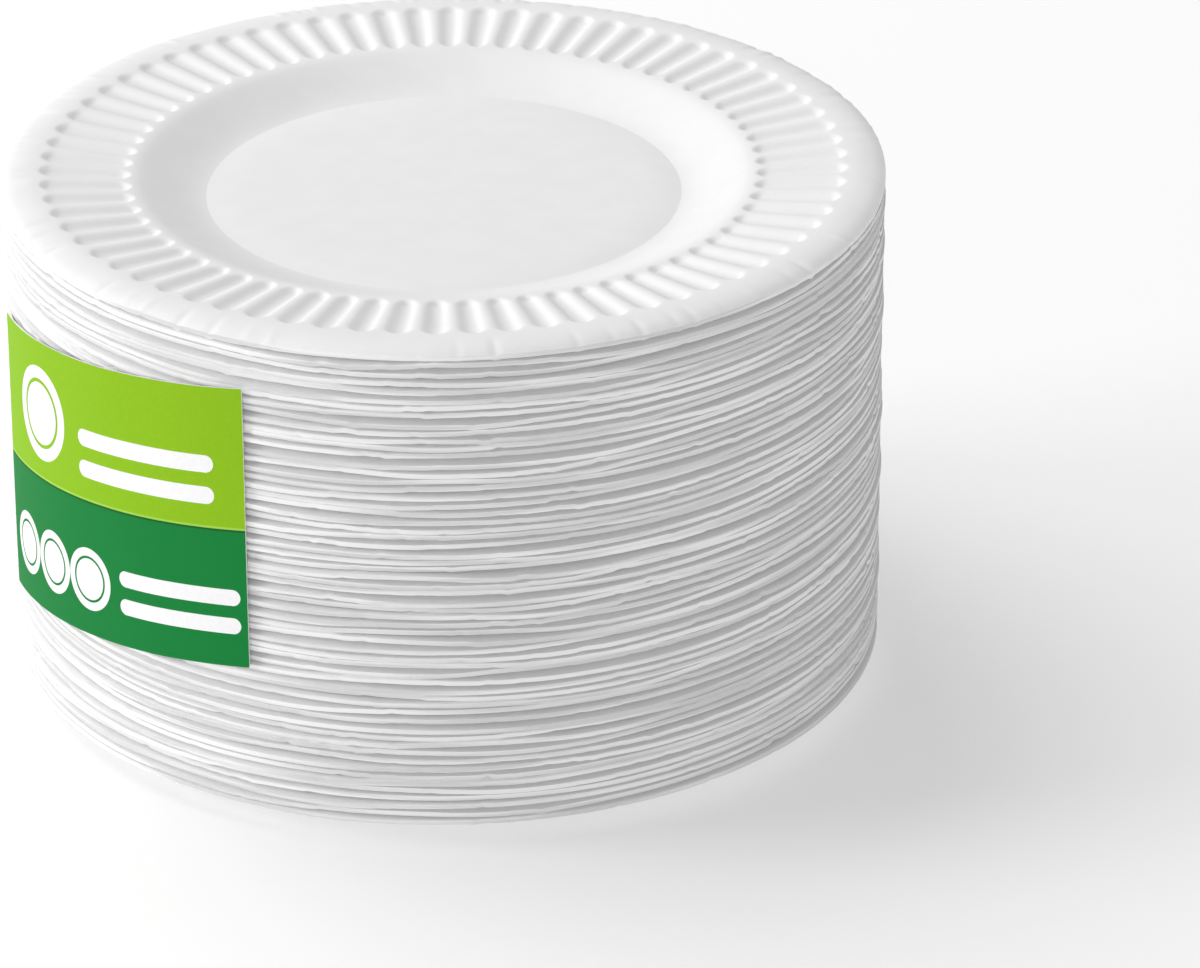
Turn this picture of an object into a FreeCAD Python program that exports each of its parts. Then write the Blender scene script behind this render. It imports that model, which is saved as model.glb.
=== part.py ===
import FreeCAD, Part
import math
import os

# A stack of light paper plates with pressed flutes round the rim, and a paper label stuck on its side.
# Millimetres, +Z up. The origin is the centre of the stack's base, where the lowest plate stands.

# Driving dimensions
PLATE_DIAMETER = 152.4
PAPER_THICKNESS = 0.42
PLATE_COUNT = 59
STACK_PITCH = 1.488

# One plate, with heights above the underside of its flat floor
FLOOR_RADIUS = 42.0
WALL_SLOPE = 24.0
RIM_INNER_RADIUS = 54.2
RIM_OUTER_RADIUS = 70.4
RIM_RISE = 4.5
EDGE_RISE = 4.1

# The flutes: ribs pressed up out of the rim, as wide as a share of the room that each one has
FLUTE_COUNT = 70
FLUTE_HEIGHT = 0.85
FLUTE_WIDTH_SHARE = 0.8
FLUTE_FOOT_START = 54.8
FLUTE_CREST_START = 56.6
FLUTE_CREST_END = 67.8
FLUTE_FOOT_END = 69.8

# How loosely the plates lie: the most that one is off the stack's axis, and how the next one differs
LARGEST_SHIFT = 0.3
SHIFT_STEP = 0.618
SHIFT_TURN = 137.5

# The label: a strip with upright ends, which runs downhill to the left. Angles are from the front.
LABEL_THICKNESS = 0.25
LABEL_CLEARANCE = 0.1
LABEL_HEIGHT = 51.6
LABEL_RIGHT_ANGLE = -24.4
LABEL_LEFT_ANGLE = -75.8
LABEL_FOOT_AT_RIGHT = 31.0
LABEL_FOOT_AT_LEFT = 21.2
LABEL_POINTS = 12

EDGE_RADIUS = PLATE_DIAMETER / 2
CENTRE = FreeCAD.Vector(0, 0, 0)
STACK_AXIS = FreeCAD.Vector(0, 0, 1)


def turned_line(radius_a, height_a, radius_b, height_b):
    """The round face that a straight line leaves when it turns about the plate's axis."""
    line = Part.makeLine(FreeCAD.Vector(radius_a, 0, height_a), FreeCAD.Vector(radius_b, 0, height_b))
    return line.revolve(CENTRE, STACK_AXIS, 360).Faces[0]


def wall_faces(lift):
    """The hollow curve that leaves the floor level, and the even slope that takes it up to the rim."""
    slope = math.radians(WALL_SLOPE)
    steep = math.tan(slope)
    gentle = math.tan(slope / 2)
    curve_end = (RIM_INNER_RADIUS * steep - FLOOR_RADIUS * gentle - RIM_RISE) / (steep - gentle)
    curve_radius = (curve_end - FLOOR_RADIUS) / math.sin(slope)

    def curve_point(turn):
        radius = FLOOR_RADIUS + curve_radius * math.sin(turn)
        return FreeCAD.Vector(radius, 0, curve_radius * (1 - math.cos(turn)) + lift)

    start, middle, end = [curve_point(turn) for turn in (0, slope / 2, slope)]
    curve = Part.Arc(start, middle, end).toShape().revolve(CENTRE, STACK_AXIS, 360)
    return [curve.Faces[0], turned_line(end.x, end.z, RIM_INNER_RADIUS, RIM_RISE + lift)]


def flute_corners(number, lift):
    """The four foot corners and the two crest ends of one flute.

    Its width and its height both grow with the radius, which keeps its long sides flat.
    """
    half_width = math.tan(FLUTE_WIDTH_SHARE * math.pi / FLUTE_COUNT)
    steepness = FLUTE_HEIGHT / FLUTE_CREST_END
    turn = FreeCAD.Rotation(STACK_AXIS, 360 / FLUTE_COUNT * number)

    def corner(radius, side, share):
        height = RIM_RISE + lift + share * steepness * radius
        return turn.multVec(FreeCAD.Vector(radius, side * half_width * radius, height))

    inner = [corner(FLUTE_FOOT_START, side, 0) for side in (-1, 1)]
    outer = [corner(FLUTE_FOOT_END, side, 0) for side in (-1, 1)]
    crest = [corner(radius, 0, 1) for radius in (FLUTE_CREST_START, FLUTE_CREST_END)]
    return inner, outer, crest


def flat_face(*corners):
    return Part.Face(Part.makePolygon([*corners, corners[0]]))


def flute_faces(inner, outer, crest):
    """Two long sides and two sloping ends."""
    return [
        flat_face(inner[0], outer[0], crest[1], crest[0]),
        flat_face(inner[1], outer[1], crest[1], crest[0]),
        flat_face(inner[0], inner[1], crest[0]),
        flat_face(outer[0], outer[1], crest[1]),
    ]


def rim_face(feet, lift):
    """The level ring between the flutes, open where each flute rises from it."""
    level = FreeCAD.Vector(0, 0, RIM_RISE + lift)
    bounds = [Part.Wire(Part.makeCircle(radius, level)) for radius in (RIM_OUTER_RADIUS, RIM_INNER_RADIUS)]
    return Part.Face(bounds + feet)


def skin(lift):
    """One side of the plate's paper, from the middle of the floor out to the edge."""
    sides = []
    feet = []
    for number in range(FLUTE_COUNT):
        inner, outer, crest = flute_corners(number, lift)
        sides += flute_faces(inner, outer, crest)
        feet.append(Part.makePolygon([inner[0], inner[1], outer[1], outer[0], inner[0]]))
    floor = Part.Face(Part.Wire(Part.makeCircle(FLOOR_RADIUS, FreeCAD.Vector(0, 0, lift))))
    band = turned_line(RIM_OUTER_RADIUS, RIM_RISE + lift, EDGE_RADIUS, EDGE_RISE + lift)
    return [floor, *wall_faces(lift), rim_face(feet, lift), band, *sides]


def make_plate():
    """One plate, pressed from a single sheet, standing on its floor at the origin."""
    edge = turned_line(EDGE_RADIUS, EDGE_RISE, EDGE_RADIUS, EDGE_RISE + PAPER_THICKNESS)
    shell = Part.makeShell([*skin(0), *skin(PAPER_THICKNESS), edge])
    shell.sewShape()
    return Part.makeSolid(shell)


def place_in_stack(plate, level):
    """Each plate lies half a flute round from the one below, so it rests on the flutes and not in them."""
    shift = LARGEST_SHIFT * (level * SHIFT_STEP % 1)
    direction = math.radians(level * SHIFT_TURN)
    place = FreeCAD.Vector(shift * math.cos(direction), shift * math.sin(direction), level * STACK_PITCH)
    turn = FreeCAD.Rotation(STACK_AXIS, 180 / FLUTE_COUNT * (level % 2))
    placed = plate.copy()
    placed.Placement = FreeCAD.Placement(place, turn)
    return placed


def plate_name(level):
    if level == 0:
        return "bottom_plate"
    if level == PLATE_COUNT - 1:
        return "top_plate"
    return f"plate_{level + 1:02d}"


def label_edge(radius, above_foot):
    """A curve round the stack, level with the label's foot or a height above it."""
    points = []
    for number in range(LABEL_POINTS + 1):
        share = number / LABEL_POINTS
        angle = math.radians(LABEL_LEFT_ANGLE + share * (LABEL_RIGHT_ANGLE - LABEL_LEFT_ANGLE))
        height = LABEL_FOOT_AT_LEFT + share * (LABEL_FOOT_AT_RIGHT - LABEL_FOOT_AT_LEFT) + above_foot
        points.append(FreeCAD.Vector(radius * math.sin(angle), -radius * math.cos(angle), height))
    curve = Part.BSplineCurve()
    curve.interpolate(points)
    return curve.toShape()


def make_label():
    """A printed strip of paper, bent round the side of the stack."""
    inner_radius = EDGE_RADIUS + LARGEST_SHIFT + LABEL_CLEARANCE
    outer_radius = inner_radius + LABEL_THICKNESS
    corners = [
        (inner_radius, 0),
        (outer_radius, 0),
        (outer_radius, LABEL_HEIGHT),
        (inner_radius, LABEL_HEIGHT),
    ]
    edges = [label_edge(radius, above_foot) for radius, above_foot in corners]
    faces = [Part.makeRuledSurface(edge, edges[number - 1]) for number, edge in enumerate(edges)]
    for end in (0, -1):
        faces.append(flat_face(*[edge.Vertexes[end].Point for edge in edges]))
    shell = Part.makeShell(faces)
    shell.sewShape()
    return Part.makeSolid(shell)


def main():
    os.makedirs("parts", exist_ok=True)
    plate = make_plate()
    for level in range(PLATE_COUNT):
        place_in_stack(plate, level).exportStep(f"parts/{plate_name(level)}.step")
    make_label().exportStep("parts/label.step")


main()
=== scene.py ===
import math

import bpy
import numpy as np
from mathutils import Euler, Matrix, Vector


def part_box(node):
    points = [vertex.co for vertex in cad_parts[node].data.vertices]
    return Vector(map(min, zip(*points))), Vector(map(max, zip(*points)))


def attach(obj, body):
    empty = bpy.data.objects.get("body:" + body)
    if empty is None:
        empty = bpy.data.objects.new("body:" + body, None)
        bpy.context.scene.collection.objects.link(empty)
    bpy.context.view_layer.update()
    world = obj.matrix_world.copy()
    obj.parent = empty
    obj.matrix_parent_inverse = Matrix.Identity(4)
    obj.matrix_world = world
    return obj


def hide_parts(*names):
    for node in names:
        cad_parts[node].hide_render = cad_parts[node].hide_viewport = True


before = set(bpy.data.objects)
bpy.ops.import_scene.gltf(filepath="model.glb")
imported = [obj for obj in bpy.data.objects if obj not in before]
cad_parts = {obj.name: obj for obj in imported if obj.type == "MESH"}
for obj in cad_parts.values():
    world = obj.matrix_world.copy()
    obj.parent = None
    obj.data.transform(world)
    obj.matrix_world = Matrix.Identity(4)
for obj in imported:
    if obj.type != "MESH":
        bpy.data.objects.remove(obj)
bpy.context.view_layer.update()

# A stack of paper plates with a green label, on a white floor. Sizes are in metres, and angles in radians.
MM = 0.001

# One plate, with heights above the underside of its floor
EDGE_RADIUS = 76.2 * MM
THICKNESS = 0.42 * MM
FLUTE_COUNT = 70
HOLLOW_DEPTH = 0.78 * MM
HOLLOW_STARTS = (53.7 * MM, 55.2 * MM)
HOLLOW_ENDS = (68.3 * MM, 69.8 * MM)
HOLLOW_SQUARENESS = 1.0
HOLLOW_ROUNDING = 1.3 * MM

# Radius and height of the pressed form, from the floor's edge to the outer edge, with the hollows left out
WALL = np.array(
    [
        (41.0, 0.0),
        (42.0, 0.15),
        (43.0, 0.37),
        (44.0, 0.66),
        (45.5, 1.18),
        (47.0, 1.77),
        (50.0, 3.0),
        (52.3, 3.92),
        (53.6, 4.2),
        (55.0, 4.34),
        (57.0, 4.5),
        (60.0, 4.74),
        (66.0, 5.22),
        (69.5, 5.48),
        (71.5, 5.5),
        (73.5, 5.3),
        (75.2, 4.9),
        (76.2, 4.4),
    ]
) * MM

# The floor is a little higher in its middle and falls ever more steeply to its edge
DOME_HEIGHT = 0.5 * MM
DOME_FROM = 34.0 * MM

# The rings of points that a side of a plate is made of: a hidden side, an underside and the top plate's face
HIDDEN_RINGS = np.array([42.5, 52.5, 60.0, 67.0, 71.0, 73.5, 75.3, 76.2]) * MM
UNDER_RINGS = np.array(
    [34, 37, 39.5, 41, 42, 43.3, 45, 48, 51, 53, 54, 55, 56, 57]
    + [62, 66.8, 68, 69, 70, 71.5, 73.5, 75.2, 76.2]
) * MM
FACE_RINGS = np.concatenate(
    [
        [14, 28, 34, 36, 37.5, 39, 40.2, 40.9, 41.0, 41.15, 41.7],
        np.arange(42.5, 52.1, 1.2),
        np.arange(52.6, 57.4, 0.37),
        [59.0, 62.0, 65.0],
        np.arange(66.6, 71.2, 0.35),
        [71.7, 72.5, 73.4, 74.2, 75.0, 75.6, 76.0, 76.2],
    ]
) * MM

# Points in a ring. The top plate has them all, and the others have every second one.
GRID = 840
COARSE_STEP = 2

# How unevenly the thin rims lie. The free band bends up and down, and is folded over at pleats.
BEND = 0.42 * MM
BENT_BAND = (69.0 * MM, EDGE_RADIUS)
BEND_WAVES = 12
BEND_WEAKENING = 0.6
BEND_SHARPNESS = 1.3
BEND_SHARE_AT_ENDS = 0.4
LEAST_GAP = 0.06 * MM
SPACING = 1.488 * MM
PLEATS_PER_PLATE = 30
PLEAT_HEIGHT = 0.3 * MM
PLEAT_LENGTH = 0.022

# The cut edge is curled down a little, it runs in and out, and it is notched
EDGE_CURL = 0.42 * MM
CURLED_BAND = (74.6 * MM, EDGE_RADIUS)
EDGE_RUNS_IN = 0.25 * MM
CUT_BAND = (73.0 * MM, EDGE_RADIUS)
CUT_WAVES = 5
CUT_WEAKENING = 0.3
NOTCHES_PER_PLATE = 30
NOTCH_DEPTH = 0.35 * MM
NOTCH_WIDTH = 0.008
CUT_SHARE_ON_TOP = 0.3

# The top plate's band also has creases, as wide as the notches
CREASES_ON_TOP = 110
CREASE_HEIGHT = 0.26 * MM
CREASED_BAND = (70.5 * MM, 75.0 * MM)

# Edges sharper than this are shaded as edges
SHARP_ANGLE = math.radians(50)

# The label, as in the solid that it replaces, with a faint ripple: waves in radians over its length and height
LABEL_INNER_RADIUS = 76.6 * MM
LABEL_THICKNESS = 0.25 * MM
LABEL_HEIGHT = 51.6 * MM
LABEL_LEFT_ANGLE = math.radians(-75.8)
LABEL_RIGHT_ANGLE = math.radians(-24.4)
LABEL_FOOT_AT_LEFT = 21.2 * MM
LABEL_FOOT_AT_RIGHT = 31.0 * MM
LABEL_COLUMNS = 96
LABEL_ROWS = 24
RIPPLE = 0.05 * MM
RIPPLE_ALONG = (19, 1)
RIPPLE_UP = (5, 0.4)

# The label's print, in millimetres from its lower left corner. The field colours change at heights, from the
# top down, with two thin lines between them. Plates: middle, radius and field, with a line of the field's
# colour in the white. Bars: middle, length and height.
LIGHT_GREEN = (0.27, 0.525, 0.01)
DARK_GREEN = (0.005, 0.215, 0.041)
PRINT_WHITE = (0.93, 0.93, 0.93)
PRINT_SIZE = (68.9, 51.6, 0.0)
PRINTED_FIELDS = ((26.0, (0.36, 0.66, 0.08)), (25.6, (0.006, 0.12, 0.02)), (25.2, DARK_GREEN))
PRINTED_PLATES = (
    (18.4, 38.0, 8.8, LIGHT_GREEN),
    (9.4, 10.6, 5.9, DARK_GREEN),
    (21.3, 10.6, 5.9, DARK_GREEN),
    (33.2, 10.6, 5.9, DARK_GREEN),
)
PLATE_LINE = (0.74, 0.66)
PRINTED_BARS = (
    (47.4, 37.4, 31.5, 3.2),
    (47.4, 31.6, 31.5, 3.2),
    (54.6, 12.9, 26.0, 3.0),
    (54.6, 7.6, 26.0, 3.0),
)

# Papers: the darkest and the lightest tone, and how many clouds there are in a metre along each axis
PLATE_PAPER = ((0.928, 0.942), (160, 160, 160))
# The cut edge's dark tone is painted shade. Its streaks change from plate to plate and turn some edges grey,
# as if they were set back in shade. The light tone is the paper's own.
CUT_EDGE_TONES_AND_SHADE = ((0.72, 0.96), (25, 25, 700))
LABEL_BACK_PAPER = ((0.91, 0.93), (160, 160, 160))
BLUE_SHARE = 0.998
FIBRES_PER_METRE = 2600
FIBRE_RELIEF = 0.06 * MM
PRINT_GRAINS_PER_METRE = 1400
PRINT_RELIEF = 0.03 * MM

# The photograph's camera: a long lens that looks down on the stack from the front
CAMERA_PLACE = (26.9 * MM, -1050.4 * MM, 555.8 * MM)
CAMERA_ELEVATION = math.radians(26.59)
CAMERA_ROLL = math.radians(0.21)
CAMERA_SENSOR = 36.0
CAMERA_LENS = 199.7
CAMERA_RANGE = (0.05, 20)

# The floor lies a hair below the lowest plate
FLOOR_HEIGHT = -0.05 * MM
FLOOR_HALF_SIZE = 3.0
FLOOR_GLOW = 0.25

# The light: even from all round, and lamps with their place, size and power
WORLD_STRENGTH = 0.4
LAMPS = {
    "top_light": ((-0.95, 0.8, 1.7), 1.9, 20.0),
    "left_light": ((-1.9, -0.15, 0.66), 0.9, 17.0),
    "front_light": ((0.0, -2.2, 0.6), 1.6, 8.0),
}

random = np.random.default_rng(59)


def smooth_step(x, start, end):
    t = np.clip((x - start) / (end - start), 0, 1)
    return t * t * (3 - 2 * t)


def uneven_wave(angle, waves, power):
    """A smooth random curve round the plate, about 1 high, made of waves that weaken as they get shorter."""
    total = np.zeros_like(angle)
    for number in range(1, waves + 1):
        total += number**-power * random.normal() * np.cos(number * angle + random.uniform(0, 2 * math.pi))
    return total / np.sqrt(sum(number ** (-2 * power) for number in range(1, waves + 1)) / 2)


def scattered(angle, count, shape):
    """A shape at random places round the plate, with random sizes from -1 to 1."""
    total = np.zeros_like(angle)
    for place, size in zip(random.uniform(0, 2 * math.pi, count), random.uniform(-1, 1, count)):
        total += size * shape((angle - place + math.pi) % (2 * math.pi) - math.pi)
    return total


def pleat(away):
    """The paper jumps up at a fold and falls back slowly beyond it."""
    return np.where(away >= 0, np.exp(-np.maximum(away, 0) / PLEAT_LENGTH), 0)


def notch(away):
    return np.exp(-((away / NOTCH_WIDTH) ** 2))


def hollow_depth(radius, angle, turn):
    """The hollows between the flutes: as wide as the flutes, with steep round ends."""
    wave = np.cos(FLUTE_COUNT * (angle - turn))
    shape = wave / np.sqrt(wave**2 + HOLLOW_SQUARENESS**2) * math.sqrt(1 + HOLLOW_SQUARENESS**2)
    rounding = HOLLOW_ROUNDING * (1 + wave) / 2
    start = smooth_step(radius - rounding, *HOLLOW_STARTS)
    end = 1 - smooth_step(radius + rounding, *HOLLOW_ENDS)
    return HOLLOW_DEPTH * (1 - shape) / 2 * start * end


def wall_height(radius):
    """A smooth curve through the wall's points, with a slight crease where the floor ends."""
    known, heights = WALL.T
    slopes = np.gradient(heights, known)
    place = np.clip(np.searchsorted(known, radius, side="right") - 1, 0, len(known) - 2)
    width = known[place + 1] - known[place]
    t = np.maximum(radius - known[place], 0) / width
    return (
        heights[place] * (2 * t**3 - 3 * t**2 + 1)
        + slopes[place] * width * (t**3 - 2 * t**2 + t)
        + heights[place + 1] * (3 * t**2 - 2 * t**3)
        + slopes[place + 1] * width * (t**3 - t**2)
    )


def dome_height(radius):
    fall = np.clip((radius - DOME_FROM) / (WALL[0, 0] - DOME_FROM), 0, 1)
    return DOME_HEIGHT * (1 - fall**2)


def ring_faces(rows, columns):
    """Faces of a closed form of rings, with one point in the middle at each end."""
    here = np.arange(columns)
    after = (here + 1) % columns
    start = 1 + np.arange(rows - 1)[:, None] * columns
    quads = np.stack([start + here, start + columns + here, start + columns + after, start + after], -1)
    last = 1 + (rows - 1) * columns
    middle = last + columns
    first_fan = [(0, 1 + a, 1 + b) for a, b in zip(here, after)]
    last_fan = [(middle, last + b, last + a) for a, b in zip(here, after)]
    return [*map(tuple, quads.reshape(-1, 4)), *first_fan, *last_fan]


def new_piece(name, vertices, faces, materials, node):
    mesh = bpy.data.meshes.new(name)
    mesh.from_pydata([tuple(v) for v in vertices], [], faces)
    mesh.polygons.foreach_set("use_smooth", np.ones(len(mesh.polygons), bool))
    mesh.set_sharp_from_angle(angle=SHARP_ANGLE)
    for material in materials:
        mesh.materials.append(material)
    piece = bpy.data.objects.new(name, mesh)
    bpy.context.scene.collection.objects.link(piece)
    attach(piece, "root")
    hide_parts(node)
    return piece


def uneven_edges(levels):
    """How far each plate's edge is bent up and how far it is cut in, round the grid of angles."""
    angle = np.arange(GRID) * 2 * math.pi / GRID
    bends = []
    for level in range(levels):
        share = BEND_SHARE_AT_ENDS if level in (0, levels - 1) else 1.0
        wave = uneven_wave(angle, BEND_WAVES, BEND_WEAKENING)
        bend = BEND * share * np.tanh(BEND_SHARPNESS * wave)
        bend += PLEAT_HEIGHT * share * scattered(angle, PLEATS_PER_PLATE, pleat)
        if bends:
            bend = np.maximum(bend, bends[-1] + THICKNESS + EDGE_CURL + LEAST_GAP - SPACING)
        bends.append(bend)
    cuts = [
        EDGE_RUNS_IN * (0.5 + 0.5 * np.tanh(uneven_wave(angle, CUT_WAVES, CUT_WEAKENING)))
        + NOTCH_DEPTH * np.abs(scattered(angle, NOTCHES_PER_PLATE, notch))
        for level in range(levels)
    ]
    return bends, cuts


def plate_piece(level, node, materials, upper_rings, lower_rings, step, bend, cut, crease_height=0.0):
    """One plate with its own unevenness, in the place of its solid."""
    low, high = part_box(node)
    centre = ((low[0] + high[0]) / 2, (low[1] + high[1]) / 2, low[2])
    turn = math.pi / FLUTE_COUNT * (level % 2)
    angle = np.arange(0, GRID, step) * 2 * math.pi / GRID
    bend = bend[::step]
    cut = cut[::step]
    creases = crease_height * scattered(angle, CREASES_ON_TOP, notch)

    def skin(rings, lift, curl):
        radius, around = np.meshgrid(rings, angle, indexing="ij")
        height = wall_height(radius) + dome_height(radius) - hollow_depth(radius, around, turn) + lift
        height += smooth_step(radius, *BENT_BAND) * bend
        height += smooth_step(radius, *CREASED_BAND) * creases
        height -= smooth_step(radius, *CURLED_BAND) * curl
        radius = radius - cut * smooth_step(radius, *CUT_BAND)
        return np.stack([radius * np.cos(around), radius * np.sin(around), height], -1)

    points = np.concatenate([skin(upper_rings, THICKNESS, 0), skin(lower_rings[::-1], 0, EDGE_CURL)])
    middles = np.array([[(0, 0, DOME_HEIGHT + THICKNESS)], [(0, 0, DOME_HEIGHT)]])
    vertices = np.concatenate([middles[0], points.reshape(-1, 3), middles[1]]) + np.array(centre)
    faces = ring_faces(len(points), len(angle))
    piece = new_piece("paper_" + node, vertices, faces, materials, node)
    # The cut edge's faces get the second material, whose darker streaks are painted shade.
    on_edge = np.arange(len(faces)) // len(angle) == len(upper_rings) - 1
    piece.data.polygons.foreach_set("material_index", on_edge.astype(int))


def label_piece(print_material, plain_material):
    """The strip with its print coordinates: along from left to right, up from foot to top."""
    along = np.linspace(0, 1, LABEL_COLUMNS + 1)
    up = np.linspace(0, 1, LABEL_ROWS + 1)
    waves_along = np.sin(along * RIPPLE_ALONG[0] + RIPPLE_ALONG[1])
    waves_up = np.sin(up * RIPPLE_UP[0] + RIPPLE_UP[1])
    ripple = RIPPLE * waves_along[:, None] * waves_up[None, :]
    angle = LABEL_LEFT_ANGLE + along * (LABEL_RIGHT_ANGLE - LABEL_LEFT_ANGLE)
    foot = LABEL_FOOT_AT_LEFT + along * (LABEL_FOOT_AT_RIGHT - LABEL_FOOT_AT_LEFT)
    height = foot[:, None] + LABEL_HEIGHT * up[None, :]

    def sheet(radius):
        radius = radius + ripple
        return np.stack([radius * np.sin(angle)[:, None], -radius * np.cos(angle)[:, None], height], -1)

    inner = sheet(LABEL_INNER_RADIUS)
    outer = sheet(LABEL_INNER_RADIUS + LABEL_THICKNESS)
    vertices = np.concatenate([outer.reshape(-1, 3), inner.reshape(-1, 3)])
    count = len(along) * len(up)

    def point(column, row, side):
        return side * count + column * len(up) + row

    faces = []
    for column in range(LABEL_COLUMNS):
        for row in range(LABEL_ROWS):
            corners = [(column, row), (column + 1, row), (column + 1, row + 1), (column, row + 1)]
            faces.append([point(*corner, 0) for corner in corners])
            faces.append([point(*corner, 1) for corner in reversed(corners)])
    border = (
        [(column, 0) for column in range(LABEL_COLUMNS)]
        + [(LABEL_COLUMNS, row) for row in range(LABEL_ROWS)]
        + [(column, LABEL_ROWS) for column in range(LABEL_COLUMNS, 0, -1)]
        + [(0, row) for row in range(LABEL_ROWS, 0, -1)]
    )
    for here, after in zip(border, border[1:] + border[:1]):
        faces.append([point(*after, 0), point(*here, 0), point(*here, 1), point(*after, 1)])
    materials = [print_material, plain_material]
    piece = new_piece("paper_label", vertices, faces, materials, "label")

    # The outer faces, every second one of the sheet's, have the print. The back and the rim are plain.
    sheet_faces = 2 * LABEL_COLUMNS * LABEL_ROWS
    plain = np.ones(len(faces), int)
    plain[0:sheet_faces:2] = 0
    piece.data.polygons.foreach_set("material_index", plain)
    layer = piece.data.uv_layers.new(name="print")
    grid = np.stack(np.meshgrid(along, up, indexing="ij"), -1).reshape(-1, 2)
    corner_points = np.empty(len(piece.data.loops), int)
    piece.data.loops.foreach_get("vertex_index", corner_points)
    layer.data.foreach_set("uv", grid[corner_points % count].ravel())


def new_material(name):
    material = bpy.data.materials.new(name)
    material.use_nodes = True
    nodes = material.node_tree.nodes
    return material, nodes, material.node_tree.links, nodes["Principled BSDF"]


def add_noise(nodes, links, coordinates, scale, detail):
    noise = nodes.new("ShaderNodeTexNoise")
    noise.inputs["Scale"].default_value = scale
    noise.inputs["Detail"].default_value = detail
    links.new(coordinates, noise.inputs["Vector"])
    return noise.outputs["Fac"]


def add_ramp(nodes, links, value, stops):
    ramp = nodes.new("ShaderNodeValToRGB")
    for point, (place, colour) in zip(ramp.color_ramp.elements, stops):
        point.position = place
        point.color = (*colour, 1)
    links.new(value, ramp.inputs["Fac"])
    return ramp.outputs["Color"]


def greys(low_place, low_tone, high_place, high_tone):
    return [(low_place, (low_tone,) * 3), (high_place, (high_tone,) * 3)]


def add_bump(nodes, links, height, shader, strength, distance):
    bump = nodes.new("ShaderNodeBump")
    bump.inputs["Strength"].default_value = strength
    bump.inputs["Distance"].default_value = distance
    links.new(height, bump.inputs["Height"])
    links.new(bump.outputs["Normal"], shader.inputs["Normal"])


def paper_material(name, tones, clouds_per_metre):
    """Uncoated white paper: faint cloudiness, which can be drawn out into streaks, and fine matt fibres. On
    the cut edge the streaks reach a much darker tone, which is painted shade.
    """
    material, nodes, links, shader = new_material(name)
    place = nodes.new("ShaderNodeTexCoord").outputs["Object"]
    drawn_out = add_vector_math(nodes, links, "MULTIPLY", place, clouds_per_metre)
    clouds = add_noise(nodes, links, drawn_out, 1, 5)
    stops = [(at, (tone, tone, tone * BLUE_SHARE)) for at, tone in zip((0.4, 0.6), tones)]
    links.new(add_ramp(nodes, links, clouds, stops), shader.inputs["Base Color"])
    fibres = add_noise(nodes, links, place, FIBRES_PER_METRE, 3)
    links.new(add_ramp(nodes, links, fibres, greys(0.3, 0.62, 0.7, 0.78)), shader.inputs["Roughness"])
    shader.inputs["Specular IOR Level"].default_value = 0.3
    add_bump(nodes, links, fibres, shader, 0.25, FIBRE_RELIEF)
    return material


def add_mix(nodes, links, blend, share, first, second):
    mix = nodes.new("ShaderNodeMix")
    mix.data_type = "RGBA"
    mix.blend_type = blend
    for socket, value in zip((mix.inputs[0], mix.inputs[6], mix.inputs[7]), (share, first, second)):
        if isinstance(value, float):
            socket.default_value = value
        elif isinstance(value, tuple):
            socket.default_value = (*value, 1)
        else:
            links.new(value, socket)
    return mix.outputs[2]


def add_vector_math(nodes, links, operation, *values):
    node = nodes.new("ShaderNodeVectorMath")
    node.operation = operation
    for socket, value in zip(node.inputs, values):
        if isinstance(value, tuple):
            socket.default_value = value
        else:
            links.new(value, socket)
    return node.outputs["Value"] if operation in ("LENGTH", "DISTANCE") else node.outputs["Vector"]


def add_less(nodes, links, value, limit):
    node = nodes.new("ShaderNodeMath")
    node.operation = "LESS_THAN"
    links.new(value, node.inputs[0])
    node.inputs[1].default_value = limit
    return node.outputs["Value"]


def label_material():
    """Two greens printed on paper, with plain discs and round-ended bars in white."""
    material, nodes, links, shader = new_material("label_print")
    print_map = nodes.new("ShaderNodeUVMap")
    print_map.uv_map = "print"
    place = add_vector_math(nodes, links, "MULTIPLY", print_map.outputs["UV"], PRINT_SIZE)
    parts = nodes.new("ShaderNodeSeparateXYZ")
    links.new(place, parts.inputs["Vector"])
    up = parts.outputs["Y"]
    colour = LIGHT_GREEN
    for top, below in PRINTED_FIELDS:
        colour = add_mix(nodes, links, "MIX", add_less(nodes, links, up, top), colour, below)
    line_outside, line_inside = PLATE_LINE
    for x, y, radius, field in PRINTED_PLATES:
        away = add_vector_math(nodes, links, "DISTANCE", place, (x, y, 0.0))
        for share, ink in ((1, PRINT_WHITE), (line_outside, field), (line_inside, PRINT_WHITE)):
            inside = add_less(nodes, links, away, radius * share)
            colour = add_mix(nodes, links, "MIX", inside, colour, ink)
    for x, y, length, height in PRINTED_BARS:
        offset = add_vector_math(nodes, links, "SUBTRACT", place, (x, y, 0.0))
        offset = add_vector_math(nodes, links, "ABSOLUTE", offset)
        offset = add_vector_math(nodes, links, "SUBTRACT", offset, ((length - height) / 2, 0.0, 0.0))
        offset = add_vector_math(nodes, links, "MAXIMUM", offset, (0.0, 0.0, 0.0))
        away = add_vector_math(nodes, links, "LENGTH", offset)
        inside = add_less(nodes, links, away, height / 2)
        colour = add_mix(nodes, links, "MIX", inside, colour, PRINT_WHITE)
    coordinates = nodes.new("ShaderNodeTexCoord").outputs["Object"]
    grain = add_noise(nodes, links, coordinates, PRINT_GRAINS_PER_METRE, 3)
    mottle = add_ramp(nodes, links, grain, greys(0.3, 0.95, 0.7, 1))
    links.new(add_mix(nodes, links, "MULTIPLY", 1.0, colour, mottle), shader.inputs["Base Color"])
    links.new(add_ramp(nodes, links, grain, greys(0.3, 0.6, 0.7, 0.7)), shader.inputs["Roughness"])
    shader.inputs["Specular IOR Level"].default_value = 0.12
    add_bump(nodes, links, grain, shader, 0.1, PRINT_RELIEF)
    return material


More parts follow.
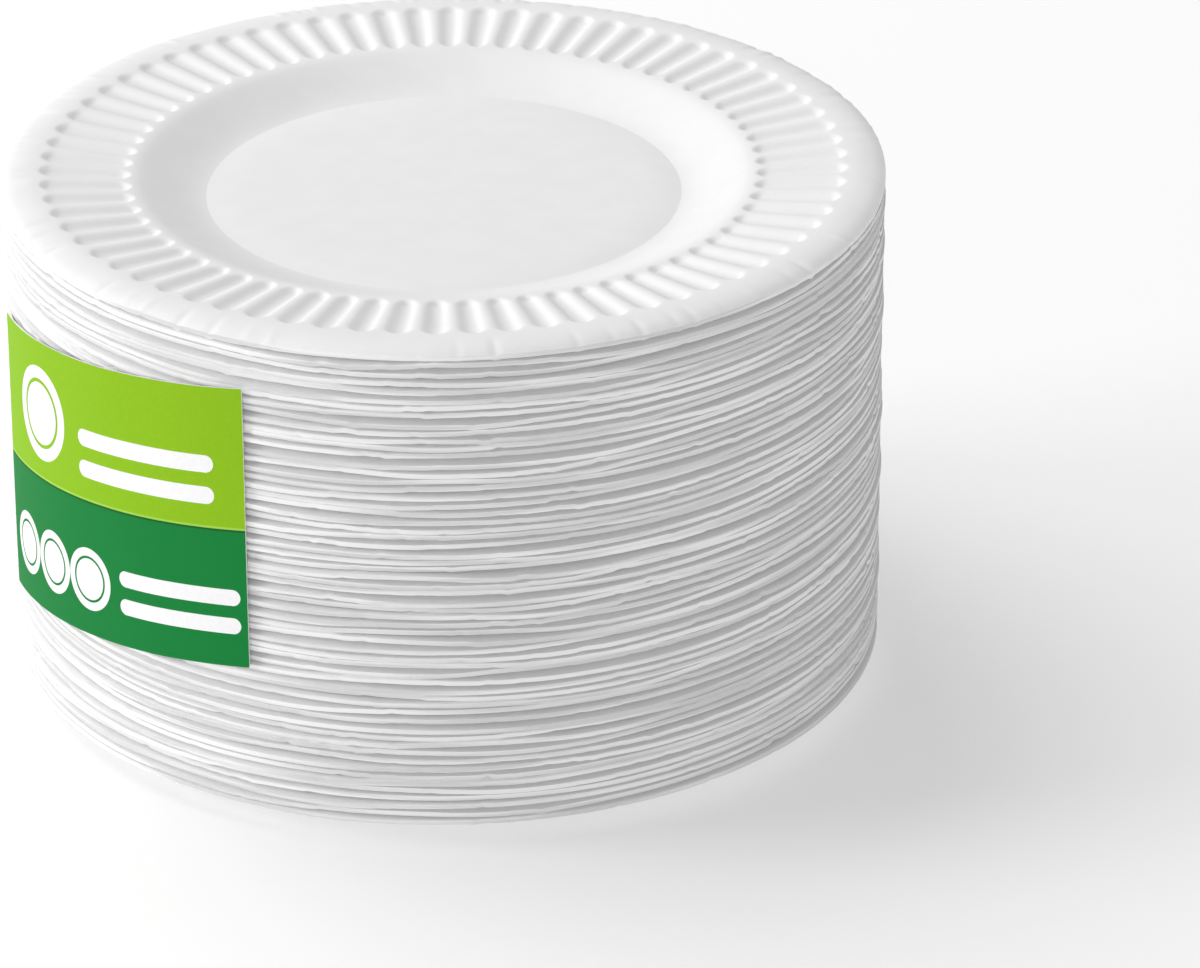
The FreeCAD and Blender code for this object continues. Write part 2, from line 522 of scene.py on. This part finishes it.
def floor_material():
    """A white studio sweep that glows a little, so that it stays white in the soft shadow."""
    material, nodes, links, shader = new_material("floor_white")
    place = nodes.new("ShaderNodeTexCoord").outputs["Object"]
    cloud = add_noise(nodes, links, place, 2, 2)
    links.new(add_ramp(nodes, links, cloud, greys(0.3, 0.84, 0.7, 0.85)), shader.inputs["Base Color"])
    shader.inputs["Roughness"].default_value = 0.8
    shader.inputs["Specular IOR Level"].default_value = 0.0
    shader.inputs["Emission Color"].default_value = (1, 1, 1, 1)
    shader.inputs["Emission Strength"].default_value = FLOOR_GLOW
    return material


def build_plates(materials):
    """All plates, from the bottom up. The top one is finest, because its face shows."""
    nodes = ["bottom_plate", *sorted(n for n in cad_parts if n.startswith("plate_")), "top_plate"]
    bends, cuts = uneven_edges(len(nodes))
    for level, node in enumerate(nodes):
        piece = (level, node, materials)
        bend = bends[level]
        cut = cuts[level]
        if node == "top_plate":
            plate_piece(*piece, FACE_RINGS, UNDER_RINGS, 1, bend, cut * CUT_SHARE_ON_TOP, CREASE_HEIGHT)
        elif node == "bottom_plate":
            plate_piece(*piece, UNDER_RINGS, UNDER_RINGS, COARSE_STEP, bend, cut)
        else:
            plate_piece(*piece, HIDDEN_RINGS, HIDDEN_RINGS, COARSE_STEP, bend, cut)


def build_floor():
    half = FLOOR_HALF_SIZE
    mesh = bpy.data.meshes.new("floor")
    corners = [(x, y, FLOOR_HEIGHT) for x, y in ((-half, -half), (half, -half), (half, half), (-half, half))]
    mesh.from_pydata(corners, [], [(0, 1, 2, 3)])
    mesh.materials.append(floor_material())
    floor = bpy.data.objects.new("floor", mesh)
    bpy.context.scene.collection.objects.link(floor)


def round_lamp(name, place, size, power):
    """A round area light that faces the stack's foot."""
    light = bpy.data.lights.new(name, "AREA")
    light.shape = "DISK"
    light.size = size
    light.energy = power
    lamp = bpy.data.objects.new(name, light)
    lamp.location = place
    lamp.rotation_euler = (-Vector(place)).to_track_quat("-Z", "Y").to_euler()
    bpy.context.scene.collection.objects.link(lamp)


def build_light():
    """Even light, a broad lamp above and behind on the left, a smaller one from the left, a weak front one."""
    world = bpy.data.worlds.new("studio")
    world.use_nodes = True
    background = world.node_tree.nodes["Background"]
    background.inputs["Color"].default_value = (1, 1, 1, 1)
    background.inputs["Strength"].default_value = WORLD_STRENGTH
    bpy.context.scene.world = world
    for name, lamp in LAMPS.items():
        round_lamp(name, *lamp)
    bpy.context.scene.view_settings.view_transform = "Standard"


def build_camera():
    data = bpy.data.cameras.new("camera")
    data.sensor_width = CAMERA_SENSOR
    data.lens = CAMERA_LENS
    data.clip_start, data.clip_end = CAMERA_RANGE
    camera = bpy.data.objects.new("camera", data)
    tilt = Euler((math.pi / 2 - CAMERA_ELEVATION, 0, 0)).to_matrix().to_4x4()
    roll = Matrix.Rotation(-CAMERA_ROLL, 4, "Z")
    camera.matrix_world = Matrix.Translation(CAMERA_PLACE) @ tilt @ roll
    bpy.context.scene.collection.objects.link(camera)
    bpy.context.scene.camera = camera


# The cut edge's material: paper, with painted shade in dark streaks from plate to plate.
cut_edge_and_shade = paper_material("cut_edge_and_shade", *CUT_EDGE_TONES_AND_SHADE)
build_plates([paper_material("plate_paper", *PLATE_PAPER), cut_edge_and_shade])
label_piece(label_material(), paper_material("label_paper", *LABEL_BACK_PAPER))
build_floor()
build_light()
build_camera()
